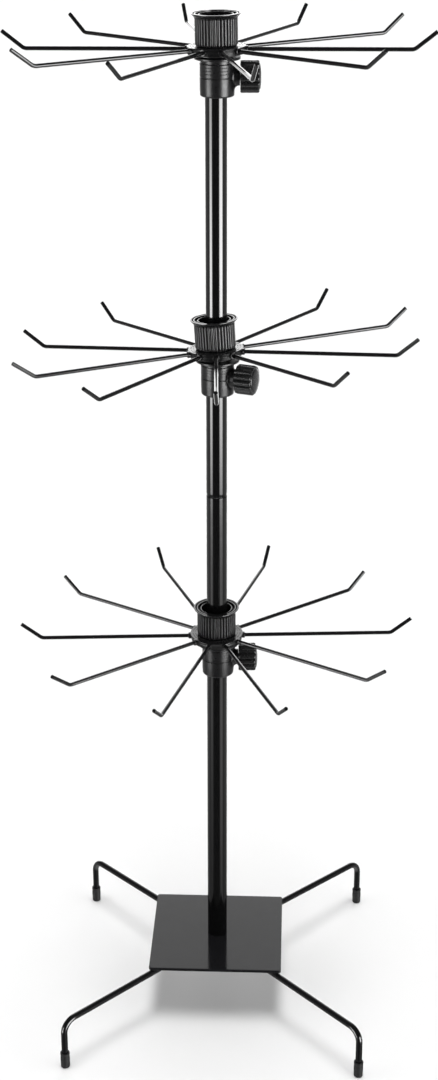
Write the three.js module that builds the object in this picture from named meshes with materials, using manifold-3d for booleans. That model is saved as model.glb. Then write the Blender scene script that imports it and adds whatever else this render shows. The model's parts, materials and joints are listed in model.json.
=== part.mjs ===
// A rotating display rack. A square plate on four bent rod legs carries a tube made of two
// lengths. Three collars are clamped to the tube, and a hub with ten wire hooks turns on each.
// Millimetres, +Z up. The origin is on the floor, on the tube's axis, and -Y is the front.

import * as THREE from 'three';
import { mergeVertices } from 'three/addons/utils/BufferGeometryUtils.js';
import Module from 'manifold-3d';

const wasm = await Module();
wasm.setup();

// ---------------------------------------------------------------- driving dimensions

const GAP = 0.3; // between pieces that touch

const TUBE_RADIUS = 12.5;
const TUBE_WALL = 1.2;
const TUBE_TOP = 1241;
const TUBE_SEAM = 702;
const TUBE_NECK_DEPTH = 0.8; // how far the upper length is drawn in at its lower end
const TUBE_NECK_HEIGHT = 4;
const JOINER_REACH = 46; // into each length of tube
const JOINER_WALL = 1.6;
const TUBE_CAP_HEIGHT = 2.4;
const TUBE_CAP_SPIGOT = 12;
const TUBE_PLUG_HEIGHT = 28;

const ROD_RADIUS = 4.1;
const ROD_INNER_REACH = 58; // start of the rod, under the plate
const ROD_INNER_HEIGHT = 72.1;
const ROD_CORNER_HEIGHT = 66.7; // where its two straight runs would meet, over the foot
const ROD_BEND_RADIUS = 17;

// The azimuth of each leg in degrees, and how far its foot stands from the tube's axis. The back
// right leg is bent a little further out than the others.
const LEGS = [
  { name: 'back_right', azimuth: 46, reach: 274 },
  { name: 'back_left', azimuth: 134, reach: 260.5 },
  { name: 'front_left', azimuth: 225, reach: 259.5 },
  { name: 'front_right', azimuth: 314.4, reach: 262 },
];

const PLATE_SIZE = 169.7;
const PLATE_THICKNESS = 4;
const PLATE_CORNER_RADIUS = 3;

const FOOT_CAP_RADIUS = 5.9;
const FOOT_CAP_HEIGHT = 22;
const FOOT_CAP_FLOOR = 3.2;
const FOOT_CAP_EDGE = 1.2;

const BOLT_RADIUS = 4;
const BOLT_LENGTH = 25;
const BOLT_HEAD_HEIGHT = 5.3;
const BOLT_HEAD_ACROSS_FLATS = 13;

const WIRE_RADIUS = 2.35;
const HOOK_COUNT = 10;
const HOOK_START = 27;
const HOOK_CORNER = 215.3; // where the straight run and the tip would meet
const HOOK_TIP_REACH = 239.9;
const HOOK_TIP_RISE = 19;
const HOOK_BEND_RADIUS = 9;

// Each tier: the height of its hooks, the azimuths of its first hook and of its knob, how far its
// hub leans in the slack round the journal, the azimuth of the low side, and how far the same
// slack lets the hub sit towards +X. Angles in degrees.
const TIERS = [
  {
    name: 'bottom', height: 515.9, hookAzimuth: 3.4, knobAzimuth: 2.4,
    lean: 0.5, lowSide: 220, aside: -0.4,
  },
  {
    name: 'middle', height: 882.2, hookAzimuth: 20.7, knobAzimuth: -19,
    lean: 4.2, lowSide: 145, aside: -0.7,
  },
  {
    name: 'top', height: 1225.9, hookAzimuth: -6.1, knobAzimuth: 1.5,
    lean: 1.2, lowSide: 148, aside: 0.6,
  },
];

// Heights on the collar are measured from the top of its flange.
// The clamp screw draws the collar towards the knob, until its bore meets the tube's far side.
const COLLAR_PULL = 1.3;
const COLLAR_BORE = TUBE_RADIUS + COLLAR_PULL + GAP;
const COLLAR_RADIUS = 19.5;
const COLLAR_BOTTOM = -43;
const COLLAR_FLANGE_RADIUS = 25.8;
const COLLAR_FLANGE_THICKNESS = 2.7;
const COLLAR_GROOVE_HEIGHT = -22;
const COLLAR_GROOVE_DEPTH = 0.5;
const COLLAR_GROOVE_WIDTH = 1;
const COLLAR_EDGE = 2;
const JOURNAL_RADIUS = 15.2;
const JOURNAL_TOP = 20;
const BOSS_RADIUS = 9.8;
const BOSS_REACH = 25;

// Heights on the hub are measured from the plane of its hooks.
const SLEEVE_BORE = 18.2;
const SLEEVE_RADIUS = 19.7;
const SLEEVE_TOP = 37.3;
const SLEEVE_FLANGE_RADIUS = 24.5;
const SLEEVE_FLANGE_BOTTOM = -7.1;
const SLEEVE_BEARING_RADIUS = 18.8; // the part of the flange's underside that rests on the collar
const SLEEVE_FLANGE_RELIEF = 0.6; // how far the rim of the flange lies above its inner part

const RING_RADIUS = 32.6;
const RING_TAPER = 1.6; // how much smaller the foot of its rim is
const RING_TOP = 3.6;
const RING_BOTTOM = -4.8;
const RING_BORE = SLEEVE_RADIUS + GAP;
const SOCKET_RADIUS = 3.9;
const SOCKET_REACH = 34.8;

const NUT_BORE = SLEEVE_RADIUS + GAP;
const NUT_RIB_COUNT = 36;
const NUT_RIB_CREST = 23.6;
const NUT_RIB_ROOT = 22.7;
const NUT_FLARE_START = 33.6;
const NUT_TOP = 38.5;
const NUT_LIP_RADIUS = 27.7;

const KNOB_RADIUS = 17.5;
const KNOB_FLUTE_DEPTH = 1.5;
const KNOB_FLUTE_COUNT = 14;
const KNOB_START = BOSS_REACH + GAP;
const KNOB_LENGTH = 21.2;
const KNOB_DOME = 2.4;
const KNOB_EDGE = 1;
const SCREW_RADIUS = 4;

const BLACK_PAINT = { color: 0x0d0d0e, roughness: 0.22, metalness: 0.0 };
const BLACK_PLASTIC = { color: 0x141415, roughness: 0.45, metalness: 0.0 };
const BLACK_RUBBER = { color: 0x101010, roughness: 0.7, metalness: 0.0 };
const BRIGHT_STEEL = { color: 0xa8aaad, roughness: 0.35, metalness: 1.0 };

// ---------------------------------------------------------------- solids and booleans

function solidOf(geometry) {
  const bare = geometry.clone();
  bare.deleteAttribute('normal');
  bare.deleteAttribute('uv');
  const merged = mergeVertices(bare, 1e-4);
  const index = merged.index.array;
  const triangles = [];
  for (let i = 0; i < index.length; i += 3) {
    const [a, b, c] = [index[i], index[i + 1], index[i + 2]];
    if (a !== b && b !== c && c !== a) triangles.push(a, b, c);
  }
  return new wasm.Manifold(new wasm.Mesh({
    numProp: 3,
    vertProperties: new Float32Array(merged.attributes.position.array),
    triVerts: new Uint32Array(triangles),
  }));
}

function geometryOf(solid) {
  const mesh = solid.getMesh();
  const geometry = new THREE.BufferGeometry();
  geometry.setAttribute('position', new THREE.BufferAttribute(mesh.vertProperties, 3));
  geometry.setIndex(new THREE.BufferAttribute(mesh.triVerts, 1));
  geometry.computeVertexNormals();
  return geometry;
}

// A profile of [radius, height] points turned about Z. It runs counterclockwise, so its outer
// wall goes up, and it closes on itself unless both of its ends are on the axis.
function turned(profile, sides) {
  const points = profile.map(([radius, height]) => new THREE.Vector2(radius, height));
  const first = points[0];
  const last = points[points.length - 1];
  const open = first.x === 0 && last.x === 0;
  if (!open) points.push(first.clone());
  return solidOf(new THREE.LatheGeometry(points, sides).rotateX(Math.PI / 2));
}

function ring(innerRadius, outerRadius, bottom, top, sides) {
  const profile = [
    [innerRadius, bottom],
    [outerRadius, bottom],
    [outerRadius, top],
    [innerRadius, top],
  ];
  return turned(profile, sides);
}

// A cylinder along the local X axis.
function radialPin(radius, start, end, sides) {
  const geometry = new THREE.CylinderGeometry(radius, radius, end - start, sides);
  geometry.rotateZ(-Math.PI / 2);
  geometry.translate((start + end) / 2, 0, 0);
  return solidOf(geometry);
}

function extruded(outline, depth, options = {}) {
  const settings = { depth, bevelEnabled: false, curveSegments: 6, ...options };
  return solidOf(new THREE.ExtrudeGeometry(outline, settings));
}

// A closed outline given by its radius as a function of the angle.
function polarOutline(radiusAt, count) {
  const points = [];
  for (let i = 0; i < count; i += 1) {
    const angle = (2 * Math.PI * i) / count;
    const radius = radiusAt(angle, i);
    points.push(new THREE.Vector2(radius * Math.cos(angle), radius * Math.sin(angle)));
  }
  return new THREE.Shape(points);
}

// Two straight runs in one plane with a bend of the given radius between them.
function bentPath(start, corner, end, radius) {
  const arriving = corner.clone().sub(start).normalize();
  const leaving = end.clone().sub(corner).normalize();
  const turn = Math.atan2(arriving.cross(leaving), arriving.dot(leaving));
  const tangent = radius * Math.tan(Math.abs(turn) / 2);
  const bendStart = corner.clone().addScaledVector(arriving, -tangent);
  const towardsCentre = new THREE.Vector2(-arriving.y, arriving.x).multiplyScalar(Math.sign(turn));
  const centre = bendStart.clone().addScaledVector(towardsCentre, radius);
  const startAngle = Math.atan2(-towardsCentre.y, -towardsCentre.x);
  const path = new THREE.Path();
  path.moveTo(start.x, start.y);
  path.lineTo(bendStart.x, bendStart.y);
  path.absarc(centre.x, centre.y, radius, startAngle, startAngle + turn, turn < 0);
  path.lineTo(end.x, end.y);
  return path;
}

// A rod's centre line in the XZ plane, stepped only at the points where it bends.
class RodLine extends THREE.Curve {
  constructor(path, arcDivisions) {
    super();
    this.stations = path.getPoints(arcDivisions).map((p) => new THREE.Vector3(p.x, 0, p.y));
    this.steps = this.stations.length - 1;
  }

  getPoint(t, target = new THREE.Vector3()) {
    const step = Math.min(Math.floor(t * this.steps + 1e-6), this.steps - 1);
    return target.lerpVectors(this.stations[step], this.stations[step + 1], t * this.steps - step);
  }

  getPointAt(u, target) {
    return this.getPoint(u, target);
  }

  getTangentAt(u, target = new THREE.Vector3()) {
    const here = Math.round(u * this.steps);
    const before = this.stations[Math.max(here - 1, 0)];
    const after = this.stations[Math.min(here + 1, this.steps)];
    const at = this.stations[here];
    const arriving = at.clone().sub(before).normalize();
    const leaving = after.clone().sub(at).normalize();
    return target.addVectors(arriving, leaving).normalize();
  }
}

function rod(path, radius, sides, arcDivisions) {
  const line = new RodLine(path, arcDivisions);
  const section = polarOutline(() => radius, sides);
  const settings = { steps: line.steps, extrudePath: line, bevelEnabled: false };
  return solidOf(new THREE.ExtrudeGeometry(section, settings));
}

function piece(name, solid, finish) {
  const mesh = new THREE.Mesh(geometryOf(solid), new THREE.MeshStandardMaterial(finish));
  mesh.name = name;
  return mesh;
}

// ---------------------------------------------------------------- base

const PLATE_BOTTOM = ROD_INNER_HEIGHT + ROD_RADIUS + GAP;
const PLATE_TOP = PLATE_BOTTOM + PLATE_THICKNESS;

function basePlate() {
  const half = PLATE_SIZE / 2;
  const inset = half - PLATE_CORNER_RADIUS;
  const outline = new THREE.Shape();
  outline.absarc(inset, inset, PLATE_CORNER_RADIUS, 0, Math.PI / 2);
  outline.absarc(-inset, inset, PLATE_CORNER_RADIUS, Math.PI / 2, Math.PI);
  outline.absarc(-inset, -inset, PLATE_CORNER_RADIUS, Math.PI, 1.5 * Math.PI);
  outline.absarc(inset, -inset, PLATE_CORNER_RADIUS, 1.5 * Math.PI, 2 * Math.PI);
  const boltHole = new THREE.Path();
  boltHole.absarc(0, 0, BOLT_RADIUS + GAP, 0, 2 * Math.PI, true);
  outline.holes.push(boltHole);
  return extruded(outline, PLATE_THICKNESS).translate([0, 0, PLATE_BOTTOM]);
}

// A leg droops a little from the plate out to its bend, and goes straight down from there.
function leg(reach) {
  const start = new THREE.Vector2(ROD_INNER_REACH, ROD_INNER_HEIGHT);
  const corner = new THREE.Vector2(reach, ROD_CORNER_HEIGHT);
  const end = new THREE.Vector2(reach, FOOT_CAP_FLOOR + GAP);
  return rod(bentPath(start, corner, end, ROD_BEND_RADIUS), ROD_RADIUS, 12, 3);
}

// A cup pushed over the end of a leg.
function footCap() {
  const bore = ROD_RADIUS + GAP;
  const profile = [
    [0, 0],
    [FOOT_CAP_RADIUS - FOOT_CAP_EDGE, 0],
    [FOOT_CAP_RADIUS, FOOT_CAP_EDGE],
    [FOOT_CAP_RADIUS, FOOT_CAP_HEIGHT - FOOT_CAP_EDGE / 2],
    [FOOT_CAP_RADIUS - FOOT_CAP_EDGE / 2, FOOT_CAP_HEIGHT],
    [bore, FOOT_CAP_HEIGHT],
    [bore, FOOT_CAP_FLOOR],
    [0, FOOT_CAP_FLOOR],
  ];
  return turned(profile, 16);
}

// A hexagon bolt that comes up through the plate into the plug in the tube.
function baseBolt() {
  const headTop = PLATE_BOTTOM - GAP;
  const acrossCorners = BOLT_HEAD_ACROSS_FLATS / Math.cos(Math.PI / 6) / 2;
  const head = extruded(polarOutline(() => acrossCorners, 6), BOLT_HEAD_HEIGHT);
  const shank = ring(0, BOLT_RADIUS, headTop - 1, headTop + BOLT_LENGTH, 16);
  return head.translate([0, 0, headTop - BOLT_HEAD_HEIGHT]).add(shank);
}

function base() {
  const group = new THREE.Group();
  group.add(piece('base_plate', basePlate(), BLACK_PAINT));
  group.add(piece('base_bolt', baseBolt(), BRIGHT_STEEL));
  for (const { name, azimuth, reach } of LEGS) {
    const turn = new THREE.Group();
    turn.rotation.z = THREE.MathUtils.degToRad(azimuth);
    const cap = piece(`foot_cap_${name}`, footCap(), BLACK_RUBBER);
    cap.position.x = reach;
    turn.add(piece(`leg_${name}`, leg(reach), BLACK_PAINT), cap);
    group.add(turn);
  }
  return group;
}

// ---------------------------------------------------------------- tube

const TUBE_BORE = TUBE_RADIUS - TUBE_WALL;
const TUBE_BOTTOM = PLATE_TOP + GAP;
const TUBE_SIDES = 32;

function lowerTube() {
  return ring(TUBE_BORE, TUBE_RADIUS, TUBE_BOTTOM, TUBE_SEAM - GAP / 2, TUBE_SIDES);
}

// The upper length is drawn in to a short neck where it meets the lower length.
function upperTube() {
  const bottom = TUBE_SEAM + GAP / 2;
  const profile = [
    [TUBE_BORE, bottom],
    [TUBE_RADIUS - TUBE_NECK_DEPTH, bottom],
    [TUBE_RADIUS, bottom + TUBE_NECK_HEIGHT],
    [TUBE_RADIUS, TUBE_TOP],
    [TUBE_BORE, TUBE_TOP],
  ];
  return turned(profile, TUBE_SIDES);
}

function tubeJoiner() {
  const radius = TUBE_BORE - GAP;
  const bottom = TUBE_SEAM - JOINER_REACH;
  return ring(radius - JOINER_WALL, radius, bottom, TUBE_SEAM + JOINER_REACH, 24);
}

function tubePlug() {
  return ring(BOLT_RADIUS + GAP, TUBE_BORE - GAP, TUBE_BOTTOM, TUBE_BOTTOM + TUBE_PLUG_HEIGHT, 24);
}

function tubeCap() {
  const under = TUBE_TOP + GAP;
  const spigot = TUBE_BORE - GAP;
  const profile = [
    [0, under - TUBE_CAP_SPIGOT],
    [spigot, under - TUBE_CAP_SPIGOT],
    [spigot, under],
    [TUBE_RADIUS, under],
    [TUBE_RADIUS, under + TUBE_CAP_HEIGHT - 1],
    [TUBE_RADIUS - 1, under + TUBE_CAP_HEIGHT],
    [0, under + TUBE_CAP_HEIGHT],
  ];
  return turned(profile, 24);
}

function tube() {
  const group = new THREE.Group();
  group.add(
    piece('lower_tube', lowerTube(), BLACK_PAINT),
    piece('upper_tube', upperTube(), BLACK_PAINT),
    piece('tube_joiner', tubeJoiner(), BRIGHT_STEEL),
    piece('tube_plug', tubePlug(), BLACK_PLASTIC),
    piece('tube_cap', tubeCap(), BLACK_PLASTIC),
  );
  return group;
}

// ---------------------------------------------------------------- tier

// The collar grips the tube and carries the flange and the journal that the hub turns on.
function clampCollar() {
  const grooveLow = COLLAR_GROOVE_HEIGHT - COLLAR_GROOVE_WIDTH / 2;
  const grooveHigh = COLLAR_GROOVE_HEIGHT + COLLAR_GROOVE_WIDTH / 2;
  const profile = [
    [COLLAR_BORE, COLLAR_BOTTOM],
    [COLLAR_RADIUS - COLLAR_EDGE, COLLAR_BOTTOM],
    [COLLAR_RADIUS, COLLAR_BOTTOM + COLLAR_EDGE],
    [COLLAR_RADIUS, grooveLow],
    [COLLAR_RADIUS - COLLAR_GROOVE_DEPTH, grooveLow],
    [COLLAR_RADIUS - COLLAR_GROOVE_DEPTH, grooveHigh],
    [COLLAR_RADIUS, grooveHigh],
    [COLLAR_RADIUS, -COLLAR_FLANGE_THICKNESS],
    [COLLAR_FLANGE_RADIUS, -COLLAR_FLANGE_THICKNESS],
    [COLLAR_FLANGE_RADIUS, 0],
    [JOURNAL_RADIUS, 0],
    [JOURNAL_RADIUS, JOURNAL_TOP],
    [COLLAR_BORE, JOURNAL_TOP],
  ];
  const boss = radialPin(BOSS_RADIUS, COLLAR_BORE + 1, BOSS_REACH, 16);
  const bossTip = [0, 0, COLLAR_GROOVE_HEIGHT];
  const screwHole = radialPin(SCREW_RADIUS + GAP, 5, BOSS_REACH + 5, 8);
  return turned(profile, 24).add(boss.translate(bossTip)).subtract(screwHole.translate(bossTip));
}

// The knob is moulded round the head of the screw that bears on the tube.
function clampKnob() {
  const flute = (angle) => (1 - Math.cos(KNOB_FLUTE_COUNT * angle)) / 2;
  const outline = polarOutline(
    (angle) => KNOB_RADIUS - KNOB_EDGE - KNOB_FLUTE_DEPTH * flute(angle),
    KNOB_FLUTE_COUNT * 2,
  );
  const bevel = {
    bevelEnabled: true,
    bevelSize: KNOB_EDGE,
    bevelThickness: KNOB_EDGE,
    bevelSegments: 1,
  };
  const grip = extruded(outline, KNOB_LENGTH - 2 * KNOB_EDGE, bevel).translate([0, 0, KNOB_EDGE]);
  const domeProfile = [
    [0, KNOB_LENGTH - 2],
    [KNOB_RADIUS - 3.6, KNOB_LENGTH - 2],
    [KNOB_RADIUS - 3.6, KNOB_LENGTH],
    [KNOB_RADIUS * 0.5, KNOB_LENGTH + KNOB_DOME * 0.75],
    [0, KNOB_LENGTH + KNOB_DOME],
  ];
  const head = grip.add(turned(domeProfile, 14)).rotate([0, 90, 0]).translate([KNOB_START, 0, 0]);
  const screwTip = TUBE_RADIUS + GAP - COLLAR_PULL;
  return head.add(radialPin(SCREW_RADIUS, screwTip, KNOB_START + 4, 8));
}

// The sleeve turns on the journal, carries the hook ring on its flange and takes the nut.
function hubSleeve() {
  const flangeTop = RING_BOTTOM - GAP;
  const profile = [
    [SLEEVE_BORE, SLEEVE_FLANGE_BOTTOM],
    [SLEEVE_BEARING_RADIUS, SLEEVE_FLANGE_BOTTOM],
    [SLEEVE_FLANGE_RADIUS, SLEEVE_FLANGE_BOTTOM + SLEEVE_FLANGE_RELIEF],
    [SLEEVE_FLANGE_RADIUS, flangeTop],
    [SLEEVE_RADIUS, flangeTop],
    [SLEEVE_RADIUS, SLEEVE_TOP],
    [SLEEVE_BORE, SLEEVE_TOP],
  ];
  return turned(profile, 24);
}

// A disc with a socket for the inner end of each hook.
function hookRing() {
  const profile = [
    [RING_BORE, RING_BOTTOM],
    [RING_RADIUS - RING_TAPER, RING_BOTTOM],
    [RING_RADIUS, RING_TOP - 1],
    [RING_RADIUS - 1, RING_TOP],
    [RING_BORE, RING_TOP],
  ];
  let disc = turned(profile, 30);
  const envelope = ring(0, SOCKET_REACH + 1, RING_BOTTOM, RING_TOP, 30);
  const socket = radialPin(SOCKET_RADIUS, RING_BORE + 8, SOCKET_REACH, 8).intersect(envelope);
  const hole = radialPin(WIRE_RADIUS + GAP, HOOK_START - GAP, SOCKET_REACH + 5, 8);
  for (let i = 0; i < HOOK_COUNT; i += 1) {
    const turn = [0, 0, (360 * i) / HOOK_COUNT];
    disc = disc.add(socket.rotate(turn)).subtract(hole.rotate(turn));
  }
  return disc;
}

// The ribbed nut clamps the hook ring down on the sleeve and flares out to a lip at its top.
function hubNut() {
  const bottom = RING_TOP + GAP;
  const ribs = polarOutline(
    (angle, i) => (i % 2 === 0 ? NUT_RIB_CREST : NUT_RIB_ROOT),
    NUT_RIB_COUNT * 2,
  );
  const body = extruded(ribs, NUT_FLARE_START + 1 - bottom).translate([0, 0, bottom]);
  const flare = [
    [NUT_BORE - 1, NUT_FLARE_START],
    [NUT_RIB_CREST, NUT_FLARE_START],
    [NUT_LIP_RADIUS - 1.6, NUT_TOP - 2.6],
    [NUT_LIP_RADIUS, NUT_TOP - 1.2],
    [NUT_LIP_RADIUS, NUT_TOP],
    [NUT_LIP_RADIUS - 1.4, NUT_TOP],
    [NUT_RIB_ROOT + 1.2, NUT_TOP - 2.4],
    [NUT_RIB_ROOT, NUT_TOP - 0.8],
    [NUT_BORE - 1, NUT_TOP - 0.8],
  ];
  const bore = ring(0, NUT_BORE, 0, NUT_TOP + 5, 24);
  return body.add(turned(flare, 24)).subtract(bore);
}

function hook() {
  const start = new THREE.Vector2(HOOK_START, 0);
  const corner = new THREE.Vector2(HOOK_CORNER, 0);
  const tip = new THREE.Vector2(HOOK_TIP_REACH, HOOK_TIP_RISE);
  return rod(bentPath(start, corner, tip, HOOK_BEND_RADIUS), WIRE_RADIUS, 8, 1);
}

// The hub's bearing face rests on the collar's flange at its low side.
function collarHeight(height, lean) {
  const dip = SLEEVE_BEARING_RADIUS * Math.sin(THREE.MathUtils.degToRad(lean));
  return height + SLEEVE_FLANGE_BOTTOM - dip - GAP;
}

function tier({ name, height, hookAzimuth, knobAzimuth, lean, lowSide, aside }) {
  const group = new THREE.Group();

  const clamp = new THREE.Group();
  clamp.rotation.z = THREE.MathUtils.degToRad(knobAzimuth);
  clamp.position.set(COLLAR_PULL, 0, collarHeight(height, lean)).applyEuler(clamp.rotation);
  const knob = piece(`clamp_knob_${name}`, clampKnob(), BLACK_PLASTIC);
  knob.position.z = COLLAR_GROOVE_HEIGHT;
  clamp.add(piece(`clamp_collar_${name}`, clampCollar(), BLACK_PLASTIC), knob);

  // The hub turns on its own axis, and that axis leans towards the low side.
  const leanAxis = new THREE.Vector3(0, 1, 0);
  leanAxis.applyAxisAngle(new THREE.Vector3(0, 0, 1), THREE.MathUtils.degToRad(lowSide));
  const spin = new THREE.Quaternion();
  spin.setFromAxisAngle(new THREE.Vector3(0, 0, 1), THREE.MathUtils.degToRad(hookAzimuth));
  const rotor = new THREE.Group();
  rotor.position.set(aside, 0, height);
  rotor.quaternion.setFromAxisAngle(leanAxis, THREE.MathUtils.degToRad(lean)).multiply(spin);
  rotor.add(
    piece(`hub_sleeve_${name}`, hubSleeve(), BLACK_PLASTIC),
    piece(`hook_ring_${name}`, hookRing(), BLACK_PLASTIC),
    piece(`hub_nut_${name}`, hubNut(), BLACK_PLASTIC),
  );
  for (let i = 0; i < HOOK_COUNT; i += 1) {
    const number = String(i + 1).padStart(2, '0');
    const wire = piece(`hook_${name}_${number}`, hook(), BLACK_PAINT);
    wire.rotation.z = (2 * Math.PI * i) / HOOK_COUNT;
    rotor.add(wire);
  }

  group.add(clamp, rotor);
  return group;
}

const rack = new THREE.Group();
rack.add(base(), tube(), ...TIERS.map(tier));

export default rack;
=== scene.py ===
"""Looks of a rotating display rack: a plate on four rod legs, a tube in two lengths, and three
hubs with ten wire hooks each, which turn on collars clamped to the tube."""

import json
import math

import bmesh
import bpy
from mathutils import Matrix, Quaternion, Vector


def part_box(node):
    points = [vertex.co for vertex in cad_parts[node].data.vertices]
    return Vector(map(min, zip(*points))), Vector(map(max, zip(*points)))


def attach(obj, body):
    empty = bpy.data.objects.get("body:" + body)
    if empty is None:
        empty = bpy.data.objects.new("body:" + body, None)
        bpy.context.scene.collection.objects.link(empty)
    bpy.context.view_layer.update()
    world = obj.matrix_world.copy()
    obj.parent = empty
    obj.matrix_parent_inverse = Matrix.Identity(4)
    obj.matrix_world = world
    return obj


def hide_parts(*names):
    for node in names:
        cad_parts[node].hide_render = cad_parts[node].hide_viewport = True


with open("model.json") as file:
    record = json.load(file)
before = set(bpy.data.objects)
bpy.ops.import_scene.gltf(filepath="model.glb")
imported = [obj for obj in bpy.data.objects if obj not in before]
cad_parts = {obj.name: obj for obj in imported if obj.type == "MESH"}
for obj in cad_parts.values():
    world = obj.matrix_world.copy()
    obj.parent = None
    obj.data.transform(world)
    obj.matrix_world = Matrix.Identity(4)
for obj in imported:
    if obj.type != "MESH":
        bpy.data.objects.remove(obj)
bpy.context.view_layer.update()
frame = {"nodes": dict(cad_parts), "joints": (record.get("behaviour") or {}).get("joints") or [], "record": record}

MM = 0.001
QUARTER_TURN = math.pi / 2
FULL_TURN = 2 * math.pi

# ---------------------------------------------------------------- dimensions, in millimetres

GAP = 0.3
TIERS = ("bottom", "middle", "top")

TUBE_RADIUS = 12.5
TUBE_BORE = 11.3
TUBE_SIDES = 96
TUBE_NECK_DEPTH = 0.8
TUBE_NECK_HEIGHT = 4
TUBE_CAP_SIDES = 64
TUBE_CAP_EDGE = 2.5

ROD_RADIUS = 4.1
ROD_SIDES = 32
ROD_END_EDGE = 0.4
ROD_INNER_REACH = 58
ROD_INNER_HEIGHT = 72.1
ROD_CORNER_HEIGHT = 66.7
ROD_BEND_RADIUS = 17
ROD_BEND_STEPS = 18

WELD_RADIUS = 1
WELD_SIDES = 14
WELD_START = 1.5
WELD_LENGTH = 24
WELD_STEPS = 22
WELD_END_EDGE = 0.5
WELD_BELOW_PLATE = 1.1
WELD_IN_ROD = 0.6

PLATE_CORNER_RADIUS = 3
PLATE_CORNER_STEPS = 12
PLATE_EDGE = 0.7
PLATE_EDGE_STEPS = 4
PLATE_MARGIN = PLATE_EDGE * 4

THREAD_PITCH = 1.25
BOLT_HOLE = 4.3
BOLT_RADIUS = 4
BOLT_SIDES = 72
BOLT_HEAD_ACROSS_FLATS = 13
BOLT_HEAD_HEIGHT = 5.3
BOLT_THREAD_DEPTH = 0.55
BOLT_TIP_LENGTH = 1.4
BOLT_TIP_RADIUS = 3.2

FOOT_CAP_RADIUS = 5.9
FOOT_CAP_SIDES = 48
FOOT_CAP_FLOOR = 3.2
FOOT_CAP_TAPER = 0.4
FOOT_CAP_GROOVE = 0.25
FOOT_CAP_BAND = 2.8

WIRE_RADIUS = 2.35
WIRE_SIDES = 24
WIRE_END_EDGE = 0.25
HOOK_COUNT = 10
HOOK_START = 27
HOOK_CORNER = 215.3
HOOK_TIP_REACH = 239.9
HOOK_TIP_RISE = 19
HOOK_BEND_RADIUS = 9
HOOK_BEND_STEPS = 10

COLLAR_PULL = 1.3
COLLAR_BORE = 14.1
COLLAR_RADIUS = 19.5
COLLAR_SIDES = 96
COLLAR_BOTTOM = -43
COLLAR_FOOT_HEIGHT = 12
COLLAR_FOOT_TAPER = 0.3
COLLAR_FLANGE_RADIUS = 25.8
COLLAR_FLANGE_THICKNESS = 2.7
COLLAR_NECK_BOTTOM = -7.5
COLLAR_NECK_DEPTH = 0.6
COLLAR_GROOVE_HEIGHT = -22
COLLAR_GROOVE_DEPTH = 0.55
COLLAR_GROOVE_MOUTH = 0.8
COLLAR_GROOVE_FLOOR = 0.3
COLLAR_FINE_RINGS = (-17.5, -14, -10.5)
FINE_RING_DEPTH = 0.12
FINE_RING_HALF = 0.5
JOURNAL_RADIUS = 15.2
JOURNAL_TOP = 20

BOSS_RADIUS = 9.8
BOSS_REACH = 25
BOSS_SIDES = 64
BOSS_FILLET = 4.6
BOSS_FILLET_STEPS = 6
BOSS_EDGE = 0.35
BOSS_EDGE_STEPS = 4
BOSS_SUNK = 0.12
BOSS_ROOT = 2.5
SCREW_HOLE = 4.3
SCREW_HOLE_START = 5

SLEEVE_BORE = 18.2
SLEEVE_RADIUS = 19.7
SLEEVE_SIDES = 96
SLEEVE_TOP = 37.3
SLEEVE_FLANGE_RADIUS = 24.5
SLEEVE_FLANGE_BOTTOM = -7.1
SLEEVE_BEARING_RADIUS = 18.8
SLEEVE_FLANGE_RELIEF = 0.6

RING_RADIUS = 32.6
RING_SIDES = 120
RING_TAPER = 1.6
RING_BORE = 20
RING_TOP = 3.6
RING_BOTTOM = -4.8
RING_GROOVES = (3.6, 6.6)
RING_GROOVE_HALF = 0.6
RING_GROOVE_DEPTH = 0.45
SOCKET_RADIUS = 3.9
SOCKET_SIDES = 40
SOCKET_START = 24
SOCKET_REACH = 34.8
SOCKET_TRIM = 0.05
WIRE_FIT = 0.12

NUT_BORE = 20
NUT_BOTTOM = 3.9
NUT_RIB_COUNT = 36
NUT_RIB_CREST = 23.6
NUT_RIB_DEPTH = 1.7
NUT_RIB_HALF = 0.3
NUT_RIB_GAP = 0.48
NUT_RIB_CROWN = 0.45
NUT_SIDES_PER_RIB = 12
NUT_FLARE_START = 33.6
NUT_LIP_START = 35.8
NUT_TOP = 38.5
NUT_LIP_RADIUS = 27.7

KNOB_RADIUS = 17.5
KNOB_FLUTE_COUNT = 14
KNOB_FLUTE_DEPTH = 2.2
KNOB_LOBE_BLUNTNESS = 1.3
KNOB_SIDES_PER_FLUTE = 14
KNOB_START = 25.3
KNOB_LENGTH = 21.2
KNOB_INNER_EDGE = 1.4
KNOB_OUTER_EDGE = 2.0
KNOB_EDGE_STEPS = 6
KNOB_FACE_RADIUS = 14.1
KNOB_FACE_RISE = 0.15
KNOB_DOME = 2.4
KNOB_DOME_STEPS = 9
KNOB_COUNTERSINK = 0.6

SCREW_RADIUS = 4
SCREW_SIDES = 32
SCREW_SUNK = 4
SCREW_THREAD_DEPTH = 0.6
SCREW_TIP_LENGTH = 3

SHARP_ANGLE = math.radians(32)
ROUNDING_STEPS = 5

# ---------------------------------------------------------------- meshes


def new_mesh(bm, name):
    """Millimetre geometry becomes a mesh in metres, smooth apart from its sharp edges."""
    bmesh.ops.recalc_face_normals(bm, faces=bm.faces)
    mark_sharp(bm)
    mesh = bpy.data.meshes.new(name)
    bm.to_mesh(mesh)
    bm.free()
    mesh.transform(Matrix.Scale(MM, 4))
    return mesh


def mark_sharp(bm):
    """Smooth shading everywhere except across the sharp edges."""
    for face in bm.faces:
        face.smooth = True
    for edge in bm.edges:
        edge.smooth = edge.calc_face_angle(0) < SHARP_ANGLE


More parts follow.
